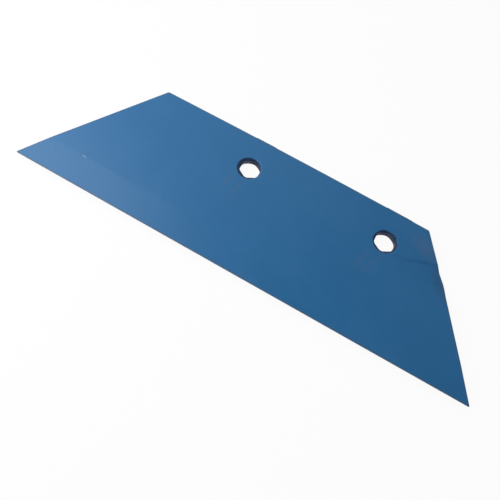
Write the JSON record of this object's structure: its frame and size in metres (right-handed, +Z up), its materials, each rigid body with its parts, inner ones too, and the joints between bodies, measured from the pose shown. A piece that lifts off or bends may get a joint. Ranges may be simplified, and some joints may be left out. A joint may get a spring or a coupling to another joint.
{
  "type": "plough share",
  "caption": "Painted steel plough share: a trapezoid blade with a bevelled cutting edge, bolt holes near its back edge and a shallow forged hollow at the heel.",
  "frame": {"origin": "centre of the blade's footprint, on its flat underside", "axes": "+X along the cutting edge from the point to the heel, +Y from the cutting edge to the back edge, +Z up out of the bevelled upper face"},
  "size_m": [0.5, 0.1479, 0.01],
  "materials": {
    "blue_paint": "semi-gloss blue paint over rolled steel"
  },
  "bodies": {
    "root": {"share_blade": "blue_paint"}
  },
  "joints": []
}
